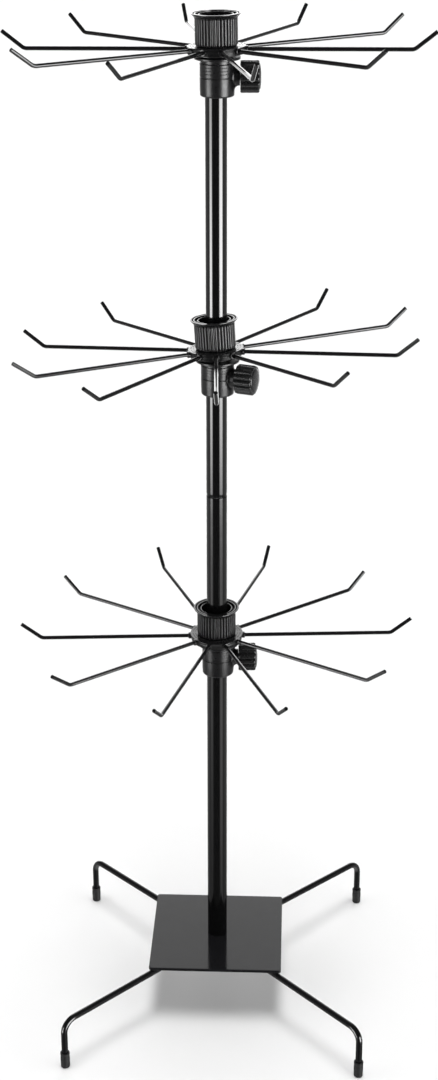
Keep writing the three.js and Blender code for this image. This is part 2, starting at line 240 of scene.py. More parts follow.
def new_piece(name, mesh, slot, body, nodes=(), place=None, material=None):
    """A piece of a body, in its slot's material unless another is named."""
    piece = bpy.data.objects.new(name, mesh)
    bpy.context.scene.collection.objects.link(piece)
    piece.data.materials.clear()
    piece.data.materials.append(MATERIALS[material or slot])
    if place is not None:
        piece.matrix_world = place
    even = piece.modifiers.new("even_normals", "WEIGHTED_NORMAL")
    even.keep_sharp = True
    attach(piece, body)
    if nodes:
        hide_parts(*nodes)
    return piece


def rounded(corners):
    """A closed outline from corners of (x, y, radius), with each corner rounded."""
    points = []
    for i, (x, y, radius) in enumerate(corners):
        corner = Vector((x, y))
        if radius <= 0:
            points.append(corner)
            continue
        before = Vector(corners[i - 1][:2])
        after = Vector(corners[(i + 1) % len(corners)][:2])
        towards = [(before - corner).normalized(), (after - corner).normalized()]
        half = towards[0].angle(towards[1]) / 2
        room = min((before - corner).length, (after - corner).length) * 0.49
        reach = min(radius / math.tan(half), room)
        size = reach * math.tan(half)
        middle = (towards[0] + towards[1]).normalized()
        centre = corner + middle * (size / math.sin(half))
        start = corner + towards[0] * reach - centre
        arc = (corner + towards[1] * reach - centre).angle_signed(start)
        for step in range(ROUNDING_STEPS + 1):
            turn = Matrix.Rotation(arc * step / ROUNDING_STEPS, 2)
            points.append(centre + turn @ start)
    return points


def circle(radius, height, sides):
    angles = [FULL_TURN * i / sides for i in range(sides)]
    return [(radius * math.cos(a), radius * math.sin(a), height) for a in angles]


def lathe(outline, sides):
    """Turns an outline of (radius, height) about Z. Points on the axis become poles."""
    bm = bmesh.new()
    rings = []
    for radius, height in outline:
        points = circle(radius, height, sides) if radius > 0 else [(0, 0, height)]
        rings.append([bm.verts.new(point) for point in points])
    for ring, following in zip(rings, rings[1:] + rings[:1]):
        bridge(bm, ring, following)
    return bm


def lathe_along_x(outline, sides):
    """Turns an outline of (radius, distance) about X."""
    bm = lathe(outline, sides)
    turn = Matrix.Rotation(QUARTER_TURN, 3, "Y")
    bmesh.ops.rotate(bm, verts=bm.verts, cent=(0, 0, 0), matrix=turn)
    return bm


def bridge(bm, ring, following):
    """Joins two rings of points, or a ring and a pole, with faces."""
    if len(ring) == 1 and len(following) == 1:
        return
    count = max(len(ring), len(following))
    for i in range(count):
        j = (i + 1) % count
        if len(ring) == 1:
            bm.faces.new((ring[0], following[i], following[j]))
        elif len(following) == 1:
            bm.faces.new((ring[i], following[0], ring[j]))
        else:
            bm.faces.new((ring[i], following[i], following[j], ring[j]))


def rings_of(bm, loops):
    """Rows of points, each a closed loop, joined one to the next with faces."""
    rings = [[bm.verts.new(point) for point in loop] for loop in loops]
    for ring, following in zip(rings, rings[1:]):
        bridge(bm, ring, following)
    return rings


def closed_skin(loops):
    """A skin over rows of points, with a face over each end."""
    bm = bmesh.new()
    rings = rings_of(bm, loops)
    bm.faces.new(rings[0])
    bm.faces.new(rings[-1])
    return bm


def bent_line(start, corner, end, radius, steps):
    """Points along two straight runs in the XZ plane with a bend between them."""
    start, corner, end = Vector(start), Vector(corner), Vector(end)
    arriving = (corner - start).normalized()
    leaving = (end - corner).normalized()
    turn = arriving.angle_signed(leaving)
    tangent = radius * math.tan(abs(turn) / 2)
    side = -math.copysign(1, turn)
    centre = corner - arriving * tangent + Vector((-arriving.y, arriving.x)) * side * radius
    spoke = corner - arriving * tangent - centre
    bend = [centre + Matrix.Rotation(-turn * i / steps, 2) @ spoke for i in range(steps + 1)]
    return [start] + bend + [end]


def sweep(points, radius, sides, chamfer, lumps=None):
    """A round bar along points in the XZ plane, with its end edges broken.

    Lumps, where given, scale its radius from one station to the next."""
    first = (points[1] - points[0]).normalized()
    last = (points[-1] - points[-2]).normalized()
    stations = [(points[0], radius - chamfer), (points[0] + first * chamfer, radius)]
    stations += [(point, radius) for point in points[1:-1]]
    stations += [(points[-1] - last * chamfer, radius), (points[-1], radius - chamfer)]
    loops = []
    for i, (point, size) in enumerate(stations):
        before = stations[max(i - 1, 0)][0]
        after = stations[min(i + 1, len(stations) - 1)][0]
        tangent = (after - before).normalized()
        normal = Vector((-tangent.y, tangent.x))
        if lumps:
            size *= lumps[i]
        loop = []
        for k in range(sides):
            angle = FULL_TURN * k / sides
            across = normal * size * math.cos(angle)
            loop.append((point.x + across.x, size * math.sin(angle), point.y + across.y))
        loops.append(loop)
    return closed_skin(loops)


def boolean(mesh, cutters, operation):
    """Joins or cuts a mesh with others, which are used up."""
    base = bpy.data.objects.new("work", mesh)
    bpy.context.scene.collection.objects.link(base)
    tools = []
    for cutter in cutters:
        tool = bpy.data.objects.new("tool", cutter)
        bpy.context.scene.collection.objects.link(tool)
        modifier = base.modifiers.new("cut", "BOOLEAN")
        modifier.operation = operation
        modifier.solver = "EXACT"
        modifier.object = tool
        tools.append(tool)
    graph = bpy.context.evaluated_depsgraph_get()
    made = bpy.data.meshes.new_from_object(base.evaluated_get(graph))
    for used in [base] + tools:
        spent = used.data
        bpy.data.objects.remove(used)
        bpy.data.meshes.remove(spent)
    return tidied(made)


def tidied(mesh):
    """Welds the slivers that a cut leaves, and marks the sharp edges again."""
    bm = bmesh.new()
    bm.from_mesh(mesh)
    bmesh.ops.remove_doubles(bm, verts=bm.verts, dist=0.002 * MM)
    bmesh.ops.dissolve_degenerate(bm, edges=bm.edges, dist=0.001 * MM)
    mark_sharp(bm)
    bm.to_mesh(mesh)
    bm.free()
    return mesh


def pin(radius, start, end, sides):
    """A plain cylinder along X, for cuts."""
    loops = []
    for x in (start, end):
        angles = [FULL_TURN * (i + 0.5) / sides for i in range(sides)]
        loops.append([(x, radius * math.cos(a), radius * math.sin(a)) for a in angles])
    return closed_skin(loops)


# ---------------------------------------------------------------- materials


# Noise lies mostly between these two values.
NOISE_LOW = 0.3
NOISE_HIGH = 0.7


class Shader:
    """A material with a Principled shader and short ways to wire procedural detail into it."""

    def __init__(self, name, **constants):
        self.material = bpy.data.materials.new(name)
        self.material.use_nodes = True
        self.tree = self.material.node_tree
        self.principled = self.tree.nodes["Principled BSDF"]
        for socket, value in constants.items():
            self.principled.inputs[socket.replace("_", " ")].default_value = value
        self.place = self.tree.nodes.new("ShaderNodeTexCoord").outputs["Object"]

    def node(self, kind, **inputs):
        made = self.tree.nodes.new(kind)
        for name, value in inputs.items():
            socket = made.inputs[name.replace("_", " ")]
            if isinstance(value, bpy.types.NodeSocket):
                self.tree.links.new(value, socket)
            else:
                socket.default_value = value
        return made

    def noise(self, scale, detail, roughness=0.55, stretch=None):
        """Noise in object space; a scale of 1000 has features of about a millimetre."""
        place = self.place
        if stretch:
            place = self.node("ShaderNodeMapping", Vector=place, Scale=stretch).outputs["Vector"]
        made = self.node(
            "ShaderNodeTexNoise", Vector=place, Scale=scale, Detail=detail, Roughness=roughness
        )
        return made.outputs["Fac"]

    def spread(self, value, low, high):
        """Noise as a value between low and high."""
        made = self.node("ShaderNodeMapRange", Value=value)
        made.inputs["From Min"].default_value = NOISE_LOW
        made.inputs["From Max"].default_value = NOISE_HIGH
        made.inputs["To Min"].default_value = low
        made.inputs["To Max"].default_value = high
        return made.outputs["Result"]

    def colour(self, value, dark, light):
        """Noise as a base colour between dark and light."""
        made = self.tree.nodes.new("ShaderNodeValToRGB")
        made.color_ramp.elements[0].position = NOISE_LOW
        made.color_ramp.elements[1].position = NOISE_HIGH
        made.color_ramp.elements[0].color = (*dark, 1)
        made.color_ramp.elements[1].color = (*light, 1)
        self.tree.links.new(value, made.inputs["Fac"])
        self.wire(made.outputs["Color"], "Base Color")

    def wire(self, output, socket):
        self.tree.links.new(output, self.principled.inputs[socket])

    def bump(self, height, distance, under=None):
        """A normal raised by noise of a height in metres, over another normal if given."""
        made = self.node("ShaderNodeBump", Height=height, Strength=1.0, Distance=distance)
        if under is not None:
            self.tree.links.new(under, made.inputs["Normal"])
        return made.outputs["Normal"]


def scaled(colour, factor):
    return tuple(channel * factor for channel in colour)


def gloss_paint(name, base, roughness, peel):
    """Baked gloss black: slight orange peel under a fine grain, and patches of duller sheen."""
    s = Shader(name, IOR=1.5)
    s.colour(s.noise(scale=60, detail=4), scaled(base, 0.7), base)
    sheen = s.spread(s.noise(scale=95, detail=5), roughness * 0.75, roughness * 1.4)
    s.wire(sheen, "Roughness")
    peeled = s.bump(s.noise(scale=420, detail=2), peel)
    s.wire(s.bump(s.noise(scale=2600, detail=2), peel * 0.12, under=peeled), "Normal")
    return s.material


def moulded(name, base, roughness, grain, ior):
    """Injection-moulded black plastic: a fine spark-eroded grain and uneven sheen."""
    s = Shader(name, IOR=ior)
    s.colour(s.noise(scale=140, detail=4), base, scaled(base, 1.5))
    sheen = s.spread(s.noise(scale=210, detail=5), roughness * 0.85, roughness * 1.2)
    s.wire(sheen, "Roughness")
    fine = s.bump(s.noise(scale=3800, detail=3, roughness=0.6), grain)
    s.wire(s.bump(s.noise(scale=160, detail=2), grain * 1.5, under=fine), "Normal")
    return s.material


def rubber(name, base):
    """Matt black rubber with a coarse grain."""
    s = Shader(name, IOR=1.4)
    s.colour(s.noise(scale=300, detail=5), base, scaled(base, 1.9))
    s.wire(s.spread(s.noise(scale=420, detail=5), 0.55, 0.8), "Roughness")
    s.wire(s.bump(s.noise(scale=2200, detail=4, roughness=0.65), 0.06 * MM), "Normal")
    return s.material


def zinc_steel(name):
    """Zinc-plated steel with a faint drawn grain along its length."""
    s = Shader(name, Metallic=1.0)
    s.colour(s.noise(scale=380, detail=5), (0.42, 0.43, 0.44), (0.62, 0.63, 0.64))
    sheen = s.spread(s.noise(scale=900, detail=4, stretch=(1, 1, 6)), 0.22, 0.42)
    s.wire(sheen, "Roughness")
    s.wire(s.bump(s.noise(scale=1500, detail=3, stretch=(1, 1, 8)), 0.02 * MM), "Normal")
    return s.material


# Name, colour, roughness and the height of the orange peel in metres.
PAINTS = (
    ("base_paint", (0.008, 0.008, 0.009), 0.09, 0.012 * MM),
    ("leg_paint", (0.004, 0.004, 0.0043), 0.08, 0.005 * MM),
    ("tube_paint", (0.003, 0.003, 0.0032), 0.08, 0.004 * MM),
    ("wire_paint", (0.004, 0.004, 0.0043), 0.06, 0.003 * MM),
)
# Name, colour, roughness, the height of the grain in metres and the refractive index.
PLASTICS = (
    ("collar_plastic", (0.006, 0.006, 0.0064), 0.30, 0.006 * MM, 1.40),
    ("knob_plastic", (0.006, 0.006, 0.0062), 0.24, 0.003 * MM, 1.47),
    ("hub_plastic", (0.005, 0.005, 0.0053), 0.33, 0.0015 * MM, 1.47),
    ("lip_plastic", (0.005, 0.005, 0.0053), 0.14, 0.001 * MM, 1.47),
    ("ring_plastic", (0.004, 0.004, 0.0043), 0.20, 0.008 * MM, 1.47),
    ("plug_plastic", (0.012, 0.012, 0.012), 0.42, 0.016 * MM, 1.47),
)
MATERIALS = {row[0]: gloss_paint(*row) for row in PAINTS}
MATERIALS.update({row[0]: moulded(*row) for row in PLASTICS})
MATERIALS["foot_rubber"] = rubber("foot_rubber", (0.003, 0.003, 0.003))
MATERIALS["bright_steel"] = zinc_steel("bright_steel")

# ---------------------------------------------------------------- base

JOINTS = {joint["name"]: joint for joint in frame["joints"]}
MOUNTS = {mount["name"]: mount for mount in frame["record"]["mounts"]}
ROOT = "base_and_tube"


def height_of(node):
    """The lowest and highest points of a CAD node, in millimetres."""
    low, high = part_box(node)
    return low.z / MM, high.z / MM


def plate():
    """A square plate with round corners, rolled edges and a bolt hole at its centre."""
    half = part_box("base_plate")[1].x / MM
    bottom, top = height_of("base_plate")
    inset = half - PLATE_CORNER_RADIUS
    directions = []
    for quarter in range(4):
        for step in range(PLATE_CORNER_STEPS + 1):
            angle = QUARTER_TURN * (quarter + step / PLATE_CORNER_STEPS)
            directions.append((QUARTER_TURN * quarter + QUARTER_TURN / 2, angle))

    def outline(shrink, z):
        radius = PLATE_CORNER_RADIUS - shrink
        points = []
        for diagonal, angle in directions:
            x = math.copysign(inset, math.cos(diagonal)) + radius * math.cos(angle)
            y = math.copysign(inset, math.sin(diagonal)) + radius * math.sin(angle)
            points.append((x, y, z))
        return points

    def hole(z):
        points = []
        for x, y, _ in outline(0, z):
            angle = math.atan2(y, x)
            points.append((BOLT_HOLE * math.cos(angle), BOLT_HOLE * math.sin(angle), z))
        return points

    edge = []
    for step in range(PLATE_EDGE_STEPS + 1):
        bend = QUARTER_TURN * step / PLATE_EDGE_STEPS
        edge.append((PLATE_EDGE * (1 - math.sin(bend)), PLATE_EDGE * (1 - math.cos(bend))))
    rows = [hole(top), outline(PLATE_MARGIN, top)]
    rows += [outline(shrink, top - drop) for shrink, drop in edge]
    rows += [outline(shrink, bottom + rise) for shrink, rise in reversed(edge)]
    rows += [outline(PLATE_MARGIN, bottom), hole(bottom)]
    bm = bmesh.new()
    rings = rings_of(bm, rows)
    bridge(bm, rings[-1], rings[0])
    mesh = new_mesh(bm, "base_plate_shell")
    new_piece("plate_painted", mesh, "base_paint", ROOT, ["base_plate"])


def leg_and_cap(corner):
    """One bent rod, the rubber cap on its foot and the welds that hold it to the plate."""
    foot = Vector(MOUNTS[f"foot_{corner}"]["pos_m"]) / MM
    reach = foot.xy.length
    place = Matrix.Rotation(math.atan2(foot.y, foot.x), 4, "Z")
    line = bent_line(
        (ROD_INNER_REACH, ROD_INNER_HEIGHT),
        (reach, ROD_CORNER_HEIGHT),
        (reach, FOOT_CAP_FLOOR + GAP),
        ROD_BEND_RADIUS,
        ROD_BEND_STEPS,
    )
    rod = new_mesh(sweep(line, ROD_RADIUS, ROD_SIDES, ROD_END_EDGE), f"rod_{corner}")
    new_piece(f"rod_leg_{corner}", rod, "leg_paint", ROOT, [f"leg_{corner}"], place)
    top = height_of(f"foot_cap_{corner}")[1]
    bore = ROD_RADIUS + 0.1
    profile = rounded([
        (0, 0, 0),
        (FOOT_CAP_RADIUS - FOOT_CAP_TAPER, 0, 1.6),
        (FOOT_CAP_RADIUS, top * 0.55, 2),
        (FOOT_CAP_RADIUS - FOOT_CAP_GROOVE, top - FOOT_CAP_BAND - 0.4, 0.4),
        (FOOT_CAP_RADIUS, top - FOOT_CAP_BAND, 0.4),
        (FOOT_CAP_RADIUS, top, 0.7),
        (bore, top, 0.25),
        (bore, FOOT_CAP_FLOOR, 0.3),
        (0, FOOT_CAP_FLOOR, 0),
    ])
    cap = new_mesh(lathe(profile, FOOT_CAP_SIDES), f"cap_{corner}")
    below_bend = place @ Matrix.Translation((reach * MM, 0, 0))
    new_piece(
        f"rubber_foot_{corner}", cap, "foot_rubber", ROOT, [f"foot_cap_{corner}"], below_bend
    )
    weld_beads(corner, place)


def weld_beads(corner, place):
    """A lumpy bead down each side of the rod where it lies against the plate."""
    height = height_of("base_plate")[0] - WELD_BELOW_PLATE
    start = ROD_INNER_REACH + WELD_START
    for side, label in ((1, "left"), (-1, "right")):
        points = []
        for i in range(WELD_STEPS + 1):
            points.append(Vector((start + WELD_LENGTH * i / WELD_STEPS, height)))
        lumps = [weld_lump(i, side) for i in range(WELD_STEPS + 3)]
        bm = sweep(points, WELD_RADIUS, WELD_SIDES, WELD_END_EDGE, lumps)
        aside = side * (ROD_RADIUS - WELD_IN_ROD)
        bmesh.ops.translate(bm, verts=bm.verts, vec=(0, aside, 0))
        mesh = new_mesh(bm, f"weld_{corner}_{label}")
        new_piece(f"weld_bead_{corner}_{label}", mesh, "base_paint", ROOT, (), place)


def weld_lump(i, side):
    """How much fatter than its mean radius a weld bead is at one station."""
    return 1 + 0.10 * math.sin(2.1 * i) + 0.05 * math.sin(0.9 * i + side)


def bolt():
    """A hexagon head with a turned chamfer, and a shank with rolled threads."""
    low, high = height_of("base_bolt")
    side = math.pi / 3
    flat = BOLT_HEAD_ACROSS_FLATS / 2
    corner = flat / math.cos(side / 2)
    top = low + BOLT_HEAD_HEIGHT

    def hexagon(z, limit):
        """A section of the head, cut off round at a limit."""
        points = []
        for i in range(BOLT_SIDES):
            angle = FULL_TURN * i / BOLT_SIDES
            within = (angle + side / 2) % side - side / 2
            radius = min(flat / math.cos(side / 2 - abs(within)), limit)
            points.append((radius * math.cos(angle), radius * math.sin(angle), z))
        return points

    rows = [hexagon(low, flat * 0.96), hexagon(low + 0.5, corner * 0.97)]
    rows += [hexagon(low + 1, corner), hexagon(top, corner)]
    z = top
    while z < high - BOLT_TIP_LENGTH:
        rows.append(circle(BOLT_RADIUS - BOLT_THREAD_DEPTH, z, BOLT_SIDES))
        rows.append(circle(BOLT_RADIUS, z + THREAD_PITCH / 2, BOLT_SIDES))
        z += THREAD_PITCH
    rows.append(circle(BOLT_TIP_RADIUS, high, BOLT_SIDES))
    mesh = new_mesh(closed_skin(rows), "bolt")
    new_piece("plate_bolt", mesh, "bright_steel", ROOT, ["base_bolt"])


# ---------------------------------------------------------------- tube


def turned_piece(name, corners, sides, slot, node):
    """A piece of the fixed body, turned about Z from an outline with rounded corners."""
    mesh = new_mesh(lathe(rounded(corners), sides), name + "_mesh")
    new_piece(name, mesh, slot, ROOT, [node])


def tubes():
    """Both lengths of tube, the cap in the top one, and finishes for the hidden pieces."""
    low, high = height_of("lower_tube")
    turned_piece("tube_lower", [
        (TUBE_BORE, low, 0.2),
        (TUBE_RADIUS, low, 0.4),
        (TUBE_RADIUS, high, 0.9),
        (TUBE_BORE, high, 0.2),
    ], TUBE_SIDES, "tube_paint", "lower_tube")
    low, high = height_of("upper_tube")
    neck = TUBE_RADIUS - TUBE_NECK_DEPTH
    turned_piece("tube_upper", [
        (TUBE_BORE, low, 0.1),
        (neck, low, 0.25),
        (neck + 0.3, low + 1, 2),
        (TUBE_RADIUS, low + TUBE_NECK_HEIGHT, 8),
        (TUBE_RADIUS, high, 0.4),
        (TUBE_BORE, high, 0.2),
    ], TUBE_SIDES, "tube_paint", "upper_tube")
    under = high + GAP
    low, high = height_of("tube_cap")
    spigot = TUBE_BORE - GAP
    turned_piece("tube_end_cap", [
        (0, low, 0),
        (spigot - 0.6, low, 0.4),
        (spigot, low + 1.5, 0.4),
        (spigot, under, 0.2),
        (TUBE_RADIUS, under, 0.3),
        (TUBE_RADIUS, high - 0.4, 1.1),
        (TUBE_RADIUS - TUBE_CAP_EDGE, high, 3),
        (0, high, 0),
    ], TUBE_CAP_SIDES, "plug_plastic", "tube_cap")
    for node, slot in (("tube_joiner", "bright_steel"), ("tube_plug", "plug_plastic")):
        kept = frame["nodes"][node]
        kept.data.materials.clear()
        kept.data.materials.append(MATERIALS[slot])


# ---------------------------------------------------------------- tier


def fine_ring(height):
    """The corners of a faint line turned in the barrel of the collar."""
    return [
        (COLLAR_RADIUS, height - FINE_RING_HALF, 0.1),
        (COLLAR_RADIUS - FINE_RING_DEPTH, height, 0.2),
        (COLLAR_RADIUS, height + FINE_RING_HALF, 0.1),
    ]


def collar_mesh():
    """Barrel, flange and journal, with the boss of the clamp screw blended into the barrel."""
    groove = COLLAR_GROOVE_HEIGHT
    deep = COLLAR_RADIUS - COLLAR_GROOVE_DEPTH
    neck = COLLAR_RADIUS - COLLAR_NECK_DEPTH
    profile = rounded([
        (COLLAR_BORE, COLLAR_BOTTOM, 0.5),
        (COLLAR_RADIUS - COLLAR_FOOT_TAPER, COLLAR_BOTTOM, 2.2),
        (COLLAR_RADIUS, COLLAR_BOTTOM + COLLAR_FOOT_HEIGHT, 8),
        (COLLAR_RADIUS, groove - COLLAR_GROOVE_MOUTH, 0.35),
        (deep, groove - COLLAR_GROOVE_FLOOR, 0.15),
        (deep, groove + COLLAR_GROOVE_FLOOR, 0.15),
        (COLLAR_RADIUS, groove + COLLAR_GROOVE_MOUTH, 0.35),
        *[corner for height in COLLAR_FINE_RINGS for corner in fine_ring(height)],
        (COLLAR_RADIUS, COLLAR_NECK_BOTTOM, 1.5),
        (neck, COLLAR_NECK_BOTTOM + 1, 0.5),
        (neck, -COLLAR_FLANGE_THICKNESS, 1.0),
        (COLLAR_FLANGE_RADIUS, -COLLAR_FLANGE_THICKNESS, 0.7),
        (COLLAR_FLANGE_RADIUS, 0, 0.7),
        (JOURNAL_RADIUS, 0, 0.6),
        (JOURNAL_RADIUS, JOURNAL_TOP, 0.7),
        (COLLAR_BORE, JOURNAL_TOP, 0.4),
    ])
    barrel = new_mesh(lathe(profile, COLLAR_SIDES), "barrel")
    solid = boolean(barrel, [new_mesh(boss(), "boss")], "UNION")
    hole = pin(SCREW_HOLE, SCREW_HOLE_START, BOSS_REACH + 5, SCREW_SIDES)
    bmesh.ops.translate(hole, verts=hole.verts, vec=(0, 0, COLLAR_GROOVE_HEIGHT))
    return boolean(solid, [new_mesh(hole, "hole")], "DIFFERENCE")


def boss():
    """The boss along X with the fillet that a rolling ball would leave against the barrel."""
    columns = [boss_column(FULL_TURN * i / BOSS_SIDES) for i in range(BOSS_SIDES)]
    return closed_skin(zip(*columns))


def boss_column(angle):
    """Points at one angle round the boss: its edge, its side, the fillet and the root."""
    cosine, sine = math.cos(angle), math.sin(angle)
    column = []
    for step in range(BOSS_EDGE_STEPS + 1):
        bend = QUARTER_TURN * step / BOSS_EDGE_STEPS
        size = BOSS_RADIUS - BOSS_EDGE * (1 - math.sin(bend))
        x = BOSS_REACH - BOSS_EDGE * (1 - math.cos(bend))
        column.append(Vector((x, size * cosine, size * sine)))
    outer = COLLAR_RADIUS + BOSS_FILLET
    y, z = (BOSS_RADIUS + BOSS_FILLET) * cosine, (BOSS_RADIUS + BOSS_FILLET) * sine
    ball = Vector((math.sqrt(outer * outer - y * y), y, z))
    on_boss = Vector((ball.x, BOSS_RADIUS * cosine, BOSS_RADIUS * sine))
    shrink = (COLLAR_RADIUS - BOSS_SUNK) / outer
    on_barrel = Vector((ball.x * shrink, ball.y * shrink, z))
    start, end = on_boss - ball, on_barrel - ball
    for step in range(BOSS_FILLET_STEPS + 1):
        spoke = start.slerp(end, step / BOSS_FILLET_STEPS).normalized()
        growth = (end.length - start.length) * step / BOSS_FILLET_STEPS
        column.append(ball + spoke * (start.length + growth))
    deep = (COLLAR_RADIUS - BOSS_ROOT) / COLLAR_RADIUS
    column.append(Vector((on_barrel.x * deep, on_barrel.y * deep, on_barrel.z)))
    column.append(Vector((COLLAR_BORE + 1.5, on_barrel.y / 2, on_barrel.z / 2)))
    return [point + Vector((0, 0, COLLAR_GROOVE_HEIGHT)) for point in column]


def knob_mesh():
    """A knob along X with soft lobes, rounded ends, and a shallow dome on its outer face."""
    end = KNOB_START + KNOB_LENGTH
    rows = [
        lobed(KNOB_START + KNOB_COUNTERSINK, SCREW_RADIUS + 0.2, 0),
        lobed(KNOB_START + KNOB_COUNTERSINK, SCREW_RADIUS + 1, 0),
        lobed(KNOB_START, SCREW_RADIUS + 1.4, 0),
    ]
    for x, radius, depth in knob_edge(KNOB_INNER_EDGE):
        rows.append(lobed(KNOB_START + x, radius, depth))
    for x, radius, depth in reversed(knob_edge(KNOB_OUTER_EDGE)):
        rows.append(lobed(end - x, radius, depth))
    rows.append(lobed(end, KNOB_FACE_RADIUS + 0.4, 0))
    rows.append(lobed(end + KNOB_FACE_RISE, KNOB_FACE_RADIUS, 0))
    for step in range(1, KNOB_DOME_STEPS):
        bend = QUARTER_TURN * step / KNOB_DOME_STEPS
        rise = KNOB_FACE_RISE + (KNOB_DOME - KNOB_FACE_RISE) * math.sin(bend)
        rows.append(lobed(end + rise, KNOB_FACE_RADIUS * math.cos(bend), 0))
    return new_mesh(closed_skin(rows), "knob")


def lobed(x, radius, depth):
    """A section of the knob, with flutes of a given depth between its lobes."""
    sides = KNOB_FLUTE_COUNT * KNOB_SIDES_PER_FLUTE
    points = []
    for i in range(sides):
        angle = FULL_TURN * i / sides
        lobe = abs(math.cos(KNOB_FLUTE_COUNT * angle / 2))
        size = radius - depth * (1 - lobe) ** KNOB_LOBE_BLUNTNESS
        points.append((x, size * math.cos(angle), size * math.sin(angle)))
    return points


def knob_edge(edge):
    """Distance in from the end, radius and flute depth round the edge of the knob."""
    curve = []
    for step in range(KNOB_EDGE_STEPS + 1):
        bend = QUARTER_TURN * step / KNOB_EDGE_STEPS
        x = edge * (1 - math.cos(bend))
        radius = KNOB_RADIUS - edge * (1 - math.sin(bend))
        curve.append((x, radius, KNOB_FLUTE_DEPTH * math.sin(bend)))
    return curve


def screw_mesh():
    """The clamp screw: a rolled thread and a plain point that bears on the tube."""
    sunk = KNOB_START + SCREW_SUNK
    profile = [(0, sunk), (SCREW_RADIUS - 0.1, sunk)]
    tip = TUBE_RADIUS + GAP - COLLAR_PULL
    x = KNOB_START
    while x > tip + SCREW_TIP_LENGTH:
        profile.append((SCREW_RADIUS, x))
        profile.append((SCREW_RADIUS - SCREW_THREAD_DEPTH, x - THREAD_PITCH / 2))
        x -= THREAD_PITCH
    profile += [(SCREW_RADIUS - 1, x), (SCREW_RADIUS - 1.2, tip), (0, tip)]
    return new_mesh(lathe_along_x(profile, SCREW_SIDES), "screw")


def sleeve_mesh():
    """The bush inside a hub, with a flange that turns on the collar's flange."""
    flange_top = RING_BOTTOM - GAP
    profile = rounded([
        (SLEEVE_BORE, SLEEVE_FLANGE_BOTTOM, 0.2),
        (SLEEVE_BEARING_RADIUS, SLEEVE_FLANGE_BOTTOM, 0.2),
        (SLEEVE_FLANGE_RADIUS, SLEEVE_FLANGE_BOTTOM + SLEEVE_FLANGE_RELIEF, 0.6),
        (SLEEVE_FLANGE_RADIUS, flange_top, 0.5),
        (SLEEVE_RADIUS, flange_top, 0.2),
        (SLEEVE_RADIUS, SLEEVE_TOP, 0.9),
        (SLEEVE_BORE, SLEEVE_TOP, 0.5),
    ])
    return new_mesh(lathe(profile, SLEEVE_SIDES), "sleeve")


def ring_mesh():
    """The disc that holds the hooks: two fine grooves in its top, a faint ridge round its
    tapered rim, and a socket for each hook."""
    middle = (RING_TOP + RING_BOTTOM) / 2
    profile = rounded([
        (RING_BORE, RING_BOTTOM, 0.4),
        (RING_RADIUS - RING_TAPER, RING_BOTTOM, 0.4),
        (RING_RADIUS - RING_TAPER * 0.6, middle - 0.4, 0.1),
        (RING_RADIUS - RING_TAPER * 0.3, middle - 0.1, 0.3),
        (RING_RADIUS - RING_TAPER * 0.4, middle + 0.4, 0.1),
        (RING_RADIUS, RING_TOP - 0.9, 0.3),
        (RING_RADIUS - 0.4, RING_TOP, 0.4),
        *[corner for inset in RING_GROOVES for corner in ring_groove(RING_RADIUS - inset)],
        (RING_BORE, RING_TOP, 0.4),
    ])
    disc = new_mesh(lathe(profile, RING_SIDES), "disc")
    sockets, holes = [], []
    for i in range(HOOK_COUNT):
        turn = Matrix.Rotation(FULL_TURN * i / HOOK_COUNT, 4, "Z")
        hole = pin(WIRE_RADIUS + WIRE_FIT, HOOK_START - GAP, SOCKET_REACH + 5, WIRE_SIDES)
        sockets.append(new_mesh(socket(), "socket"))
        holes.append(new_mesh(hole, "hole"))
        sockets[-1].transform(turn)
        holes[-1].transform(turn)
    return boolean(boolean(disc, sockets, "UNION"), holes, "DIFFERENCE")


def ring_groove(radius):
    """The corners of one turned groove in the top of the ring."""
    half, floor_half = RING_GROOVE_HALF, RING_GROOVE_HALF / 2
    return [
        (radius + half, RING_TOP, 0.25),
        (radius + floor_half, RING_TOP - RING_GROOVE_DEPTH, 0.2),
        (radius - floor_half, RING_TOP - RING_GROOVE_DEPTH, 0.2),
        (radius - half, RING_TOP, 0.25),
    ]


def socket():
    """A round-nosed boss round one hook, trimmed to the thickness of the disc."""
    profile = rounded([
        (0, SOCKET_START, 0),
        (SOCKET_RADIUS, SOCKET_START, 0),
        (SOCKET_RADIUS, SOCKET_REACH, 0.8),
        (0, SOCKET_REACH, 0),
    ])
    bm = lathe_along_x(profile, SOCKET_SIDES)
    for vert in bm.verts:
        vert.co.z = min(max(vert.co.z, RING_BOTTOM + SOCKET_TRIM), RING_TOP - SOCKET_TRIM)
    return bm


